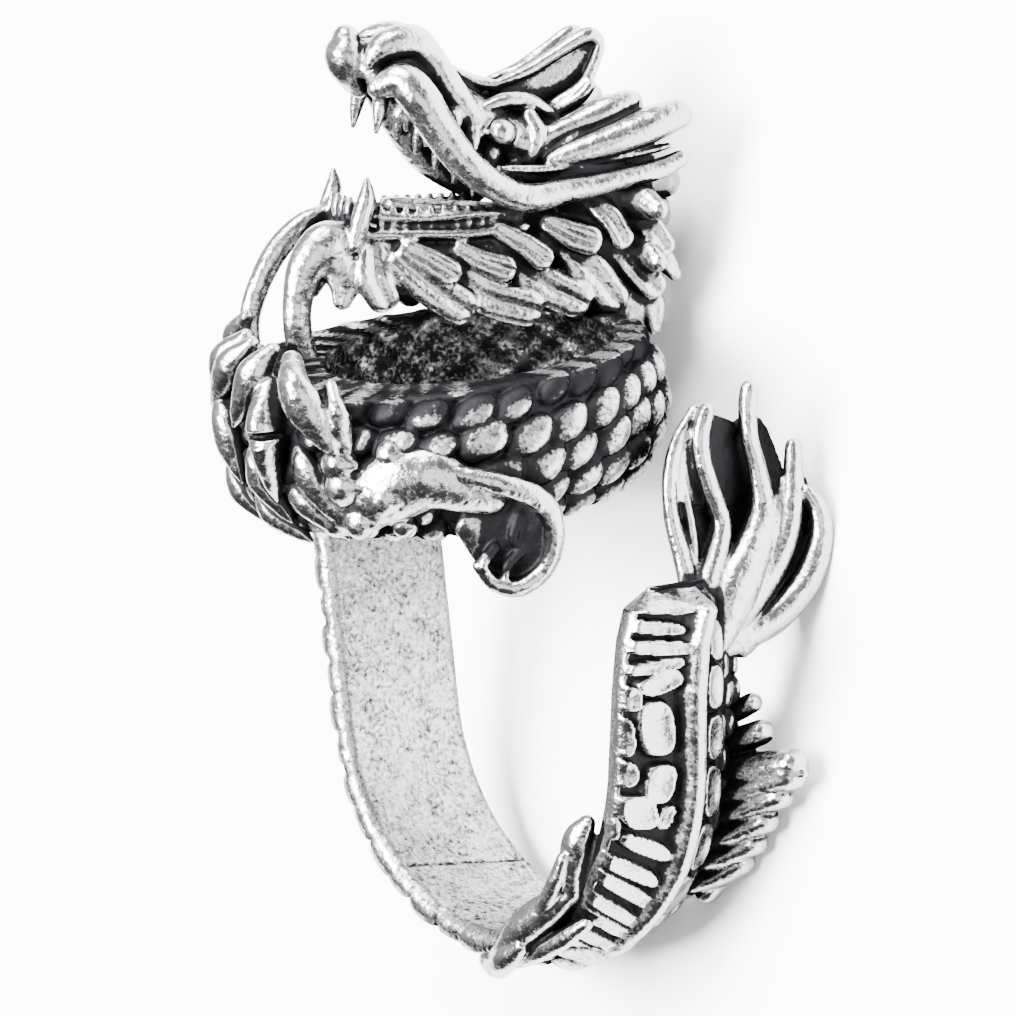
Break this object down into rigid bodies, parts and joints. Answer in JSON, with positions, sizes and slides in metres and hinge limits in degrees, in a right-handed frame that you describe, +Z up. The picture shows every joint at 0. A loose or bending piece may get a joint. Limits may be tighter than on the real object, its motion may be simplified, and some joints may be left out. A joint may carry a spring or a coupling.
{
  "type": "dragon ring",
  "caption": "One-piece cast open ring in antiqued silver colour: a scaled dragon coils over the finger, its open-mouthed head at one end and its flame-tufted tail at the other.",
  "frame": {"origin": "middle of the bounding box on the floor under the ring, which lies on its back", "axes": "+Z up from the floor, +Y from the finger band towards the dragon's head, +X to the ring's right as worn, towards the tail's tuft"},
  "size_m": [0.0234, 0.039, 0.0205],
  "materials": {
    "antique_silver": "cast, blackened and polished back, so recesses stay black and high places are bright"
  },
  "bodies": {
    "root": {"dragon_ring": "antique_silver"}
  },
  "joints": []
}
